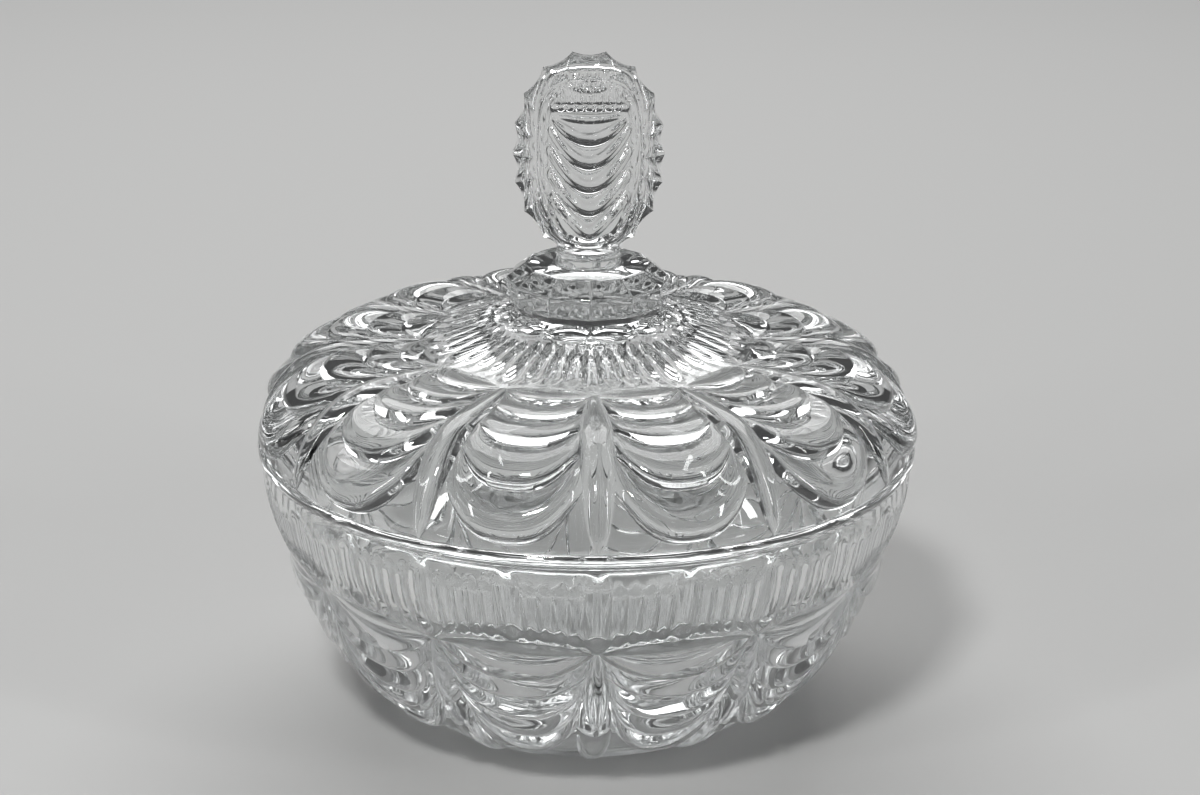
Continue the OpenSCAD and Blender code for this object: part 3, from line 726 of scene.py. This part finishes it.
def disc_patch(skin, fin, border, ground, sign, middle, side):
    """Fills an oval border with a square grid whose outer points are the border's own."""
    inset = fin.rim + fin.rim_w
    i, j = np.meshgrid(np.arange(side + 1), np.arange(side + 1), indexing="ij")
    p, q = 2 * i / side - 1, 2 * j / side - 1
    r = np.maximum(np.abs(p), np.abs(q))
    upright = np.abs(q) >= np.abs(p)
    slant = np.where(upright, p / np.where(q == 0, 1, q), q / np.where(p == 0, 1, p)) * math.pi / 4
    turn = np.where(upright, slant + math.pi * (q < 0), math.pi / 2 - slant + math.pi * (p < 0))
    x, z = (r * c for c in oval(fin, turn, inset))
    shifts = np.linspace(-fin.soft, fin.soft, SOFT_STEPS)
    relief = np.mean([panel_height(fin, x + dx, z + dz) for dx in shifts for dz in shifts], axis=0)
    y = ground + sign * relief * np.minimum(1, (1 - r) / PANEL_EASE)
    index = np.zeros_like(i)
    rim = r >= 1 - 1e-9
    places = np.round((turn / (2 * math.pi) + 0.5 / fin.scallops) * 4 * side).astype(int) % (4 * side)
    index[rim] = np.asarray(border)[places[rim]]
    index[~rim] = skin.row(np.stack([x, y, z + middle], axis=-1)[~rim])
    for a in range(side):
        for b in range(side):
            corners = index[[a, a + 1, a + 1, a], [b, b, b + 1, b + 1]]
            skin.face(tuple(corners.tolist()))


def add(tree, kind, links=None, **values):
    """Adds a node, sets its properties and socket values, and links sockets into it."""
    node = tree.nodes.new(kind)
    for key, value in values.items():
        if hasattr(node, key):
            setattr(node, key, value)
        else:
            node.inputs[key.replace("_", " ")].default_value = value
    for key, socket in (links or {}).items():
        tree.links.new(socket, node.inputs[key])
    return node


def turning_tree():
    """Geometry nodes that turn one panel round the axis, close the seams and set the glass."""
    tree = bpy.data.node_groups.new("Turn panels", "GeometryNodeTree")
    tree.interface.new_socket("Panel", in_out="INPUT", socket_type="NodeSocketGeometry")
    tree.interface.new_socket("Panels", in_out="INPUT", socket_type="NodeSocketInt")
    tree.interface.new_socket("Seam", in_out="INPUT", socket_type="NodeSocketFloat")
    tree.interface.new_socket("Glass", in_out="INPUT", socket_type="NodeSocketMaterial")
    tree.interface.new_socket("Geometry", in_out="OUTPUT", socket_type="NodeSocketGeometry")
    given = add(tree, "NodeGroupInput").outputs
    points = add(tree, "GeometryNodePoints", {"Count": given["Panels"]})
    step = add(tree, "ShaderNodeMath", {1: given["Panels"]}, operation="DIVIDE")
    step.inputs[0].default_value = 2 * math.pi
    index = add(tree, "GeometryNodeInputIndex")
    about = add(tree, "ShaderNodeMath", {0: index.outputs[0], 1: step.outputs[0]}, operation="MULTIPLY")
    rotation = add(tree, "ShaderNodeCombineXYZ", {"Z": about.outputs[0]})
    copies = add(tree, "GeometryNodeInstanceOnPoints", {
        "Points": points.outputs[0], "Instance": given["Panel"], "Rotation": rotation.outputs[0]})
    real = add(tree, "GeometryNodeRealizeInstances", {"Geometry": copies.outputs[0]})
    seams = add(tree, "GeometryNodeMergeByDistance", {
        "Geometry": real.outputs[0], "Distance": given["Seam"]})
    glass = add(tree, "GeometryNodeSetMaterial", {
        "Geometry": seams.outputs[0], "Material": given["Glass"]})
    add(tree, "NodeGroupOutput", {"Geometry": glass.outputs[0]})
    return tree


def new_object(name, mesh):
    obj = bpy.data.objects.new(name, mesh)
    bpy.context.scene.collection.objects.link(obj)
    return obj


def settle(obj):
    """Replaces an object's mesh by its evaluated one and drops the modifiers."""
    graph = bpy.context.evaluated_depsgraph_get()
    mesh = bpy.data.meshes.new_from_object(obj.evaluated_get(graph))
    obj.modifiers.clear()
    obj.data = mesh
    mesh.name = obj.name


def turn_panels(obj, panels, material):
    """Runs the panel tree on an object that holds one panel."""
    tree = bpy.data.node_groups.get("Turn panels") or turning_tree()
    modifier = obj.modifiers.new("Turn panels", "NODES")
    values = {"Panels": panels, "Seam": SEAM, "Glass": material}
    modifier.node_group = tree
    obj.data.materials.append(material)
    for item in tree.interface.items_tree:
        if item.in_out == "INPUT" and item.name in values:
            modifier[item.identifier] = values[item.name]
    settle(obj)


def sharpen(mesh, crease):
    """Turns the faces outwards and marks the edges that bend more than the crease angle."""
    bm = bmesh.new()
    bm.from_mesh(mesh)
    bmesh.ops.recalc_face_normals(bm, faces=bm.faces)
    for edge in bm.edges:
        if edge.calc_face_angle(math.pi) > crease:
            edge.smooth = False
    bm.to_mesh(mesh)
    bm.free()


def ease_plateau(mesh, lid):
    """Rounds the edges between the plateau's flat faces, as fire polishing does."""
    bm = bmesh.new()
    bm.from_mesh(mesh)
    slack = 0.05 * MM
    corners = {v for v in bm.verts if lid.slope_r - slack < v.co.xy.length < lid.plateau_r + slack
               and lid.facet_z - slack < v.co.z < lid.slope_z + slack}
    edges = [e for e in bm.edges if corners.issuperset(e.verts)]
    made = bmesh.ops.bevel(bm, geom=edges, offset=lid.facet_ease, segments=2, profile=0.5,
                           affect="EDGES", material=-1)
    for face in made["faces"]:
        face.smooth = True
    bm.to_mesh(mesh)
    bm.free()


# Lead crystal, pressed and fire-polished: bright edges, a faint waviness that the mould left, patches
# where the polish is a little dull, and a trace of cool grey where the glass is thick.
def glass_material(name, finish):
    """Clear glass for both pieces."""
    material = bpy.data.materials.get(name)
    if material:
        return material
    material = bpy.data.materials.new(name)
    material.use_nodes = True
    tree = material.node_tree
    tree.nodes.clear()
    place = add(tree, "ShaderNodeTexCoord").outputs["Object"]
    ripple = add(tree, "ShaderNodeTexNoise", {"Vector": place}, Scale=1 / finish.ripple_w, Detail=1.0)
    bump = add(tree, "ShaderNodeBump", {"Height": ripple.outputs["Fac"]},
               Strength=1.0, Distance=finish.ripple)
    patches = add(tree, "ShaderNodeTexNoise", {"Vector": place}, Scale=1 / finish.patch_w, Detail=3.0)
    dull = add(tree, "ShaderNodeMapRange", {"Value": patches.outputs["Fac"]},
               From_Min=0.45, From_Max=0.8, To_Min=finish.smooth, To_Max=finish.worn)
    surface = add(tree, "ShaderNodeBsdfPrincipled",
                  {"Roughness": dull.outputs[0], "Normal": bump.outputs[0]},
                  Base_Color=(*finish.tint, 1), IOR=finish.ior, Transmission_Weight=1.0)
    depth = add(tree, "ShaderNodeVolumeAbsorption", Color=(*finish.body, 1), Density=finish.density)
    add(tree, "ShaderNodeOutputMaterial", {"Surface": surface.outputs[0], "Volume": depth.outputs[0]})
    return material


# Emulsion paint, rolled on: pale and matt, with a faint mottle of the roller.
def floor_material(finish):
    """Paint for the studio floor."""
    material = bpy.data.materials.new("Painted floor")
    material.use_nodes = True
    tree = material.node_tree
    tree.nodes.clear()
    place = add(tree, "ShaderNodeTexCoord").outputs["Object"]
    mottle = add(tree, "ShaderNodeTexNoise", {"Vector": place}, Scale=1 / finish.floor_w, Detail=2.0)
    rough = add(tree, "ShaderNodeMapRange", {"Value": mottle.outputs["Fac"]},
                To_Min=0.75, To_Max=0.85)
    surface = add(tree, "ShaderNodeBsdfPrincipled", {"Roughness": rough.outputs[0]},
                  Base_Color=(*finish.floor, 1), Specular_IOR_Level=0.1)
    add(tree, "ShaderNodeOutputMaterial", {"Surface": surface.outputs[0]})
    return material


class DISH_OT_bowl(bpy.types.Operator):
    """Build the bowl"""
    bl_idname = "dish.bowl"
    bl_label = "Bowl"

    def execute(self, context):
        scene = context.scene
        skin = bowl_slice(scene.dish_pattern, scene.dish_bowl)
        obj = new_object("Bowl", skin.mesh("Bowl panel"))
        glass = glass_material("Pressed lead crystal", scene.dish_finish)
        turn_panels(obj, scene.dish_pattern.panels, glass)
        sharpen(obj.data, scene.dish_finish.crease)
        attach(obj, "bowl")
        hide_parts("bowl")
        return {"FINISHED"}


class DISH_OT_lid(bpy.types.Operator):
    """Build the lid with its finial"""
    bl_idname = "dish.lid"
    bl_label = "Lid"

    def execute(self, context):
        scene = context.scene
        glass = glass_material("Pressed lead crystal", scene.dish_finish)
        skin = lid_slice(scene.dish_pattern, scene.dish_lid, scene.dish_bowl)
        obj = new_object("Lid", skin.mesh("Lid panel"))
        turn_panels(obj, scene.dish_pattern.panels, glass)
        ease_plateau(obj.data, scene.dish_lid)
        fin = scene.dish_finial
        skin = finial_skin(fin, scene.dish_lid.collar_z - fin.sink)
        paddle = new_object("Finial", skin.mesh("Finial"))
        paddle.data.materials.append(glass)
        for mesh in (obj.data, paddle.data):
            sharpen(mesh, scene.dish_finish.crease)
        joint = obj.modifiers.new("Finial", "BOOLEAN")
        joint.operation, joint.solver, joint.object = "UNION", "MANIFOLD", paddle
        settle(obj)
        bpy.data.objects.remove(paddle)
        sharpen(obj.data, scene.dish_finish.crease)
        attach(obj, "lid")
        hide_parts("lid")
        return {"FINISHED"}


def softbox(name, place, target, width, height, power):
    """A rectangular lamp at place that faces target."""
    lamp = bpy.data.lights.new(name, "AREA")
    lamp.shape, lamp.size, lamp.size_y, lamp.energy = "RECTANGLE", width, height, power
    obj = bpy.data.objects.new(name, lamp)
    obj.location = place
    obj.rotation_euler = (Vector(target) - Vector(place)).to_track_quat("-Z", "Y").to_euler()
    bpy.context.scene.collection.objects.link(obj)


class DISH_OT_stage(bpy.types.Operator):
    """Build the floor, the lights and the camera"""
    bl_idname = "dish.stage"
    bl_label = "Stage"

    def execute(self, context):
        scene = context.scene
        disc = bmesh.new()
        bmesh.ops.create_circle(disc, cap_ends=True, radius=FLOOR_R, segments=FLOOR_SIDES)
        mesh = bpy.data.meshes.new("Floor")
        disc.to_mesh(mesh)
        disc.free()
        mesh.materials.append(floor_material(scene.dish_finish))
        mesh.transform(Matrix.Translation((0, 0, -FLOOR_DROP)))
        new_object("Floor", mesh)
        world = bpy.data.worlds.new("Studio")
        world.use_nodes = True
        world.node_tree.nodes.clear()
        sky = add(world.node_tree, "ShaderNodeBackground", Color=(*linear(SKY), 1), Strength=SKY_LEVEL)
        add(world.node_tree, "ShaderNodeOutputWorld", {"Surface": sky.outputs[0]})
        scene.world = world
        for name, place, width, height, power in LAMPS:
            softbox(name, place, LAMP_TARGET, width, height, power)
        camera = bpy.data.cameras.new("Camera")
        camera.lens, camera.sensor_width = LENS_MM, SENSOR_MM
        view = bpy.data.objects.new("Camera", camera)
        scene.collection.objects.link(view)
        view.location = (
            -CAMERA_FAR * math.sin(CAMERA_SIDE), -CAMERA_FAR * math.cos(CAMERA_SIDE), CAMERA_Z)
        aim = Matrix.Rotation(CAMERA_TURN, 4, "Z") @ Matrix.Rotation(CAMERA_TILT, 4, "X")
        view.rotation_euler = (aim @ Matrix.Rotation(CAMERA_ROLL, 4, "Z")).to_euler()
        scene.camera = view
        scene.view_settings.view_transform = "Standard"
        scene.cycles.max_bounces = CLEAR_BOUNCES
        scene.cycles.transmission_bounces = CLEAR_BOUNCES
        scene.cycles.glossy_bounces = GLOSSY_BOUNCES
        return {"FINISHED"}


class DISH_PT_panel(bpy.types.Panel):
    bl_label = "Pressed glass dish"
    bl_space_type = "VIEW_3D"
    bl_region_type = "UI"
    bl_category = "Dish"

    def draw(self, context):
        for operator in OPERATORS:
            self.layout.operator(operator.bl_idname)
        for name in GROUPS:
            group = getattr(context.scene, name)
            box = self.layout.box()
            for key in group.bl_rna.properties.keys():
                if key not in ("rna_type", "name"):
                    box.prop(group, key)


OPERATORS = (DISH_OT_bowl, DISH_OT_lid, DISH_OT_stage)
GROUPS = {
    "dish_pattern": PatternSizes,
    "dish_bowl": BowlSizes,
    "dish_lid": LidSizes,
    "dish_finial": FinialSizes,
    "dish_finish": GlassFinish,
}


def register():
    for name, group in GROUPS.items():
        bpy.utils.register_class(group)
        setattr(bpy.types.Scene, name, bpy.props.PointerProperty(type=group))
    for item in (*OPERATORS, DISH_PT_panel):
        bpy.utils.register_class(item)


def unregister():
    for item in (DISH_PT_panel, *reversed(OPERATORS)):
        bpy.utils.unregister_class(item)
    for name, group in reversed(GROUPS.items()):
        delattr(bpy.types.Scene, name)
        bpy.utils.unregister_class(group)


def main():
    register()
    bpy.ops.dish.bowl()
    bpy.ops.dish.lid()
    bpy.ops.dish.stage()


if __name__ == "__main__":
    main()
